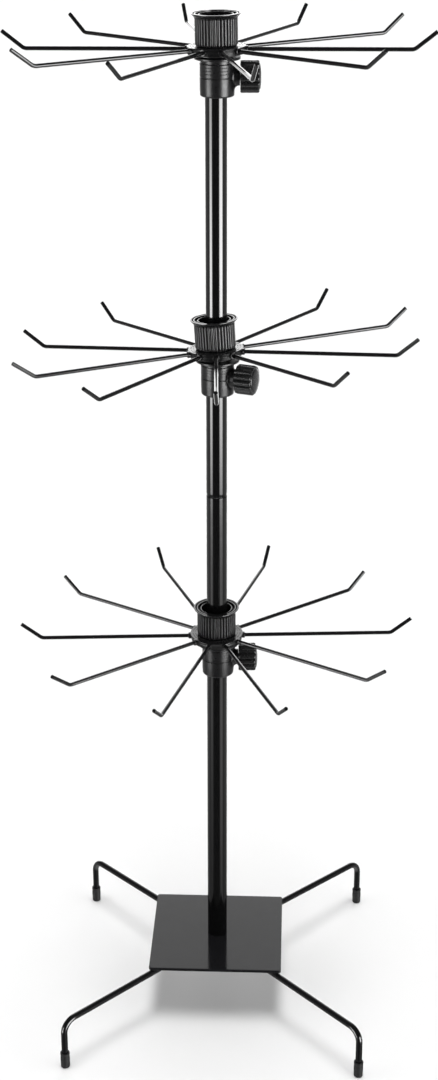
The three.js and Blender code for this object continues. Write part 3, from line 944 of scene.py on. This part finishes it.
def nut_mesh():
    """Ribs that rise from a plain foot and run out under a flared lip with a raised inner rim."""
    crest, lip, top = NUT_RIB_CREST, NUT_LIP_RADIUS, NUT_TOP
    foot, flare = NUT_BOTTOM, NUT_FLARE_START
    outline = (
        # radius, height, share of the full rib depth
        (crest - 1.6, foot, 0),
        (crest - 0.9, foot + 0.3, 0),
        (crest - 0.5, foot + 1.0, 0.2),
        (crest, foot + 1.8, 1),
        (crest, foot + 9, 1),
        (crest, foot + 18, 1),
        (crest, flare - 1.2, 1),
        (crest + 0.3, flare, 1),
        (crest + 1.1, flare + 1.0, 0.8),
        (crest + 2.1, flare + 1.9, 0.4),
        (crest + 3.0, flare + 2.7, 0),
        (lip - 0.4, top - 1.3, 0),
        (lip - 0.1, top - 0.9, 0),
        (lip, top - 0.5, 0),
        (lip - 0.1, top - 0.1, 0),
        (lip - 0.3, top, 0),
        (lip - 1.8, top, 0),
        (lip - 2.0, top - 0.25, 0),
        (lip - 2.2, top - 2.3, 0),
        (crest + 1.3, top - 3.2, 0),
        (crest + 0.9, top - 3.4, 0),
        (crest + 0.7, top - 3.0, 0),
        (crest + 0.6, top - 0.7, 0),
        (crest + 0.4, top - 0.4, 0),
        (crest - 0.8, top - 0.4, 0),
        (crest - 1.0, top - 0.7, 0),
        (crest - 1.1, top - 3.8, 0),
        (crest - 1.4, top - 4.2, 0),
        (NUT_BORE + 0.6, top - 4.2, 0),
        (NUT_BORE + 0.15, top - 4.5, 0),
        (NUT_BORE, top - 5, 0),
        (NUT_BORE, top - 12, 0),
        (NUT_BORE, foot + 0.4, 0),
        (NUT_BORE + 0.4, foot, 0),
    )
    sides = NUT_RIB_COUNT * NUT_SIDES_PER_RIB
    loops = []
    for size, z, rib in outline:
        loop = []
        for i in range(sides):
            angle = FULL_TURN * i / sides
            radius = size - NUT_RIB_DEPTH * rib * rib_valley(angle)
            loop.append((radius * math.cos(angle), radius * math.sin(angle), z))
        loops.append(loop)
    bm = bmesh.new()
    rings = rings_of(bm, loops)
    bridge(bm, rings[-1], rings[0])
    return new_mesh(bm, "nut")


def rib_valley(angle):
    """How deep the wall of the nut lies, from 0 on a rib's broad top to 1 in the narrow gap."""
    across = abs((NUT_RIB_COUNT * angle / FULL_TURN) % 1 - 0.5)
    share = min(max((across - NUT_RIB_HALF) / (NUT_RIB_GAP - NUT_RIB_HALF), 0), 1)
    crown = (across / 0.5) ** 2
    flank = share * share * (3 - 2 * share)
    return NUT_RIB_CROWN * crown + (1 - NUT_RIB_CROWN) * flank


def polish_lip(mesh):
    """The flared lip and the mouth of a nut come smoother from the mould than its ribs."""
    mesh.materials.append(MATERIALS["lip_plastic"])
    for face in mesh.polygons:
        face.material_index = int(face.center.z > NUT_LIP_START * MM)


def hook_mesh():
    """A round wire that runs out level along X and bends up to its tip."""
    corner = (HOOK_CORNER, 0)
    tip = (HOOK_TIP_REACH, HOOK_TIP_RISE)
    line = bent_line((HOOK_START, 0), corner, tip, HOOK_BEND_RADIUS, HOOK_BEND_STEPS)
    return new_mesh(sweep(line, WIRE_RADIUS, WIRE_SIDES, WIRE_END_EDGE), "hook")


def hub_place(tier):
    """Where a hub sits: its centre, the lean of its axis and the azimuth of its first hook."""
    spin = JOINTS[f"{tier}_spin"]
    centre = Vector(spin["pos_m"])
    lean = Vector((0, 0, 1)).rotation_difference(Vector(spin["axis"]))
    first = frame["nodes"][f"hook_{tier}_01"].data.vertices
    middle = sum((v.co for v in first), Vector()) / len(first)
    arm = lean.inverted() @ (middle - centre)
    turn = Quaternion((0, 0, 1), math.atan2(arm.y, arm.x))
    return Matrix.Translation(centre) @ (lean @ turn).to_matrix().to_4x4()


def tier(name, meshes):
    """One tier: the collar with its knob and screw, and the hub with its ten hooks."""
    knob_joint = JOINTS[f"{name}_knob_turn"]
    knob_axis = Vector(knob_joint["axis"])
    turn = Matrix.Rotation(math.atan2(knob_axis.y, knob_axis.x), 4, "Z")
    knob = Matrix.Translation(Vector(knob_joint["pos_m"])) @ turn
    collar = knob @ Matrix.Translation((0, 0, -COLLAR_GROOVE_HEIGHT * MM))
    hub = hub_place(name)
    pieces = (
        # mesh, material, slot, body, CAD nodes replaced, place
        ("collar", "collar_plastic", "collar_plastic", "collar", ["clamp_collar"], collar),
        ("knob", "knob_plastic", "knob_plastic", "knob", ["clamp_knob"], knob),
        ("clamp_screw", "bright_steel", "bright_steel", "knob", [], knob),
        ("sleeve", "lip_plastic", "hub_plastic", "hub", ["hub_sleeve"], hub),
        ("ring", "ring_plastic", "ring_plastic", "hub", ["hook_ring"], hub),
        ("nut", "hub_plastic", "hub_plastic", "hub", ["hub_nut"], hub),
    )
    for key, material, slot, body, nodes, place in pieces:
        piece = new_piece(
            f"{key}_{name}", meshes[key].copy(), slot, f"{name}_{body}",
            [f"{node}_{name}" for node in nodes], place, material,
        )
        if key == "nut":
            polish_lip(piece.data)
    for i in range(HOOK_COUNT):
        hook = f"{name}_{i + 1:02d}"
        step = Matrix.Rotation(FULL_TURN * i / HOOK_COUNT, 4, "Z")
        new_piece(
            f"wire_hook_{hook}", meshes["hook"].copy(), "wire_paint", f"{name}_hub",
            [f"hook_{hook}"], hub @ step,
        )


# ---------------------------------------------------------------- studio

CAMERA_PLACE = (0.0905, -2.14295, 1.56017)
CAMERA_PITCH = 66.858
CAMERA_YAW = 2.347
CAMERA_ROLL = -0.063
CAMERA_LENS = 64.317
CAMERA_SENSOR = 36
CAMERA_SIGHT = 100

# Radii and heights in metres. The wall glows a little brighter than white, which is 1.
FLOOR_RADIUS = 40
FLOOR_SIDES = 64
FLOOR_DARK = (0.735, 0.735, 0.735)
FLOOR_LIGHT = (0.75, 0.75, 0.75)
WALL_RADIUS = 39.9
WALL_HEIGHTS = (-0.01, 60)
WALL_GLOW = 1.02

# Angles and leans in degrees.
LAMP_ENERGY = 2.42
LAMP_ANGLE = 17
LAMP_LEANS = (14, 5, -4)
FILL_ENERGY = 1.04
FILL_ANGLE = 60
FILL_LEAN = 60


def camera():
    """The view of the photo: from in front and above, turned a little to the left."""
    data = bpy.data.cameras.new("camera")
    data.lens = CAMERA_LENS
    data.sensor_width = CAMERA_SENSOR
    data.clip_end = CAMERA_SIGHT
    made = bpy.data.objects.new("camera", data)
    turn = Matrix.Rotation(math.radians(CAMERA_YAW), 4, "Z")
    tilt = Matrix.Rotation(math.radians(CAMERA_PITCH), 4, "X")
    roll = Matrix.Rotation(math.radians(CAMERA_ROLL), 4, "Z")
    made.matrix_world = Matrix.Translation(CAMERA_PLACE) @ turn @ tilt @ roll
    bpy.context.scene.collection.objects.link(made)
    bpy.context.scene.camera = made


def stage_piece(name, bm, material):
    """Part of the stage, which shows to the camera but not in reflections."""
    mesh = bpy.data.meshes.new(name)
    bm.to_mesh(mesh)
    bm.free()
    mesh.materials.append(material)
    made = bpy.data.objects.new(name, mesh)
    bpy.context.scene.collection.objects.link(made)
    made.visible_glossy = False
    return made


def floor():
    """A large matt floor, with a white wall far off all round it."""
    s = Shader("pale_floor", Roughness=0.9)
    s.principled.inputs["Specular IOR Level"].default_value = 0
    s.colour(s.noise(scale=3, detail=4), FLOOR_DARK, FLOOR_LIGHT)
    bm = bmesh.new()
    bmesh.ops.create_circle(bm, cap_ends=True, radius=FLOOR_RADIUS, segments=FLOOR_SIDES)
    stage_piece("floor", bm, s.material)
    white = bpy.data.materials.new("white_wall")
    white.use_nodes = True
    nodes, links = white.node_tree.nodes, white.node_tree.links
    nodes.clear()
    glow = nodes.new("ShaderNodeEmission")
    glow.inputs["Strength"].default_value = WALL_GLOW
    links.new(glow.outputs[0], nodes.new("ShaderNodeOutputMaterial").inputs["Surface"])
    bm = bmesh.new()
    rings_of(bm, [circle(WALL_RADIUS, height, FLOOR_SIDES) for height in WALL_HEIGHTS])
    wall = stage_piece("wall", bm, white)
    wall.visible_diffuse = False
    wall.visible_shadow = False


def lamps():
    """A row of soft lamps overhead, which draw the shadows, and a wide fill from each side."""
    share = LAMP_ENERGY / len(LAMP_LEANS)
    rows = [(share, LAMP_ANGLE, (lean, 0)) for lean in LAMP_LEANS]
    rows += [(FILL_ENERGY, FILL_ANGLE, (0, lean)) for lean in (-FILL_LEAN, FILL_LEAN)]
    for number, (energy, angle, (forward, aside)) in enumerate(rows):
        data = bpy.data.lights.new(f"lamp_{number}", "SUN")
        data.energy = energy
        data.angle = math.radians(angle)
        made = bpy.data.objects.new(f"lamp_{number}", data)
        made.rotation_euler = (math.radians(forward), math.radians(aside), 0)
        made.visible_glossy = False
        bpy.context.scene.collection.objects.link(made)


# Brightness by elevation in degrees, where the floor's white is 1.
LEFT_BOX = (
    (-34, 0.15), (-31, 0.3), (-28, 0.8), (-24, 1.3), (-22.3, 2.6), (-21.4, 6.2), (-19, 12),
    (-16, 19), (-13.3, 14.8), (-11, 8.5), (8, 9), (13, 0),
)
RIGHT_BOX = (
    (-34, 0.35), (-31, 0.9), (-28, 1.2), (-24, 1.4), (-22.3, 2.8), (-21.4, 6.7), (-19, 13),
    (-16, 22.5), (-13.3, 20.5), (-11, 17.5), (8, 17), (13, 0),
)
BACK_WALL = (
    (-42, 0.1), (-30, 0.6), (-18, 2.0), (0, 3.0), (24, 3.0), (33, 1.15), (50, 0.35), (75, 0),
)
LOW_SIDES = ((-80, 0.3), (-33, 0.15), (-27, 0.4), (-2, 0.4), (8, 0))
FLOOR_BELOW = ((-90, 0.9), (-55, 0.8), (-42, 0))
AROUND = 0.08

# Azimuths in degrees from straight in front of the rack. Each box has a centre, half a width
# and a soft edge; the rest fade in from the first azimuth to the second, on both sides.
LEFT_BOX_SPAN = (-57, 13, 5)
RIGHT_BOX_SPAN = (52, 17, 5)
BACK_WALL_FADE = (142, 168)
LOW_SIDES_FADE = (24, 80)
FLOOR_BELOW_FADE = (155, 115)


class Sky:
    """The studio as seen in reflections: a dark room with a low soft box on either side of the
    camera, a bright wall behind the rack and a pale floor below."""

    def __init__(self):
        world = bpy.data.worlds.new("studio")
        bpy.context.scene.world = world
        world.use_nodes = True
        self.tree = world.node_tree
        direction = self.tree.nodes.new("ShaderNodeTexCoord").outputs["Generated"]
        split = self.tree.nodes.new("ShaderNodeSeparateXYZ")
        self.tree.links.new(direction, split.inputs[0])
        x, y, z = split.outputs
        rise = self.math("ARCSINE", z)
        self.elevation = self.math("MULTIPLY", rise, math.degrees(1))
        front = self.math("MULTIPLY", y, -1)
        turn = self.math("ARCTAN2", x, front)
        self.azimuth = self.math("MULTIPLY", turn, math.degrees(1))
        self.away = self.math("ABSOLUTE", self.azimuth)

    def math(self, operation, *values):
        node = self.tree.nodes.new("ShaderNodeMath")
        node.operation = operation
        for socket, value in zip(node.inputs, values):
            if isinstance(value, bpy.types.NodeSocket):
                self.tree.links.new(value, socket)
            else:
                socket.default_value = value
        return node.outputs[0]

    def ramp(self, value, start, end):
        """Goes smoothly from 0 at start to 1 at end, whichever is larger."""
        node = self.tree.nodes.new("ShaderNodeMapRange")
        node.interpolation_type = "SMOOTHSTEP"
        low, high = min(start, end), max(start, end)
        node.inputs["From Min"].default_value = low
        node.inputs["From Max"].default_value = high
        node.inputs["To Min"].default_value = 0 if start < end else 1
        node.inputs["To Max"].default_value = 1 if start < end else 0
        self.tree.links.new(value, node.inputs["Value"])
        return node.outputs[0]

    def curve(self, value, points):
        """A piecewise line through points of (degrees, level)."""
        total = points[0][1]
        for (start, low), (end, high) in zip(points, points[1:]):
            node = self.tree.nodes.new("ShaderNodeMapRange")
            node.inputs["From Min"].default_value = start
            node.inputs["From Max"].default_value = end
            node.inputs["To Min"].default_value = 0
            node.inputs["To Max"].default_value = high - low
            self.tree.links.new(value, node.inputs["Value"])
            total = self.math("ADD", node.outputs[0], total)
        return total

    def soft_box(self, centre, half, soft, profile):
        """Light round one azimuth, with soft edges."""
        apart = self.math("ABSOLUTE", self.math("SUBTRACT", self.azimuth, centre))
        across = self.ramp(apart, half + soft, half - soft)
        return self.math("MULTIPLY", across, self.curve(self.elevation, profile))

    def faded(self, fade, profile):
        """Light that fades in between two azimuths, alike on both sides."""
        across = self.ramp(self.away, *fade)
        return self.math("MULTIPLY", across, self.curve(self.elevation, profile))

    def finish(self):
        level = self.soft_box(*LEFT_BOX_SPAN, LEFT_BOX)
        others = [
            self.soft_box(*RIGHT_BOX_SPAN, RIGHT_BOX),
            self.faded(BACK_WALL_FADE, BACK_WALL),
            self.faded(LOW_SIDES_FADE, LOW_SIDES),
            self.faded(FLOOR_BELOW_FADE, FLOOR_BELOW),
            AROUND,
        ]
        for other in others:
            level = self.math("ADD", level, other)
        background = self.tree.nodes["Background"]
        background.inputs["Color"].default_value = (1, 1, 1, 1)
        self.tree.links.new(level, background.inputs["Strength"])


def studio():
    camera()
    floor()
    lamps()
    Sky().finish()
    scene = bpy.context.scene
    scene.view_settings.view_transform = "Standard"
    scene.view_settings.look = "None"


# ---------------------------------------------------------------- the rack

studio()
plate()
bolt()
for corner_name in ("back_right", "back_left", "front_left", "front_right"):
    leg_and_cap(corner_name)
tubes()
tier_meshes = {
    "collar": collar_mesh(),
    "knob": knob_mesh(),
    "clamp_screw": screw_mesh(),
    "sleeve": sleeve_mesh(),
    "ring": ring_mesh(),
    "nut": nut_mesh(),
    "hook": hook_mesh(),
}
for tier_name in TIERS:
    tier(tier_name, tier_meshes)
for spare in tier_meshes.values():
    bpy.data.meshes.remove(spare)

bpy.context.view_layer.update()
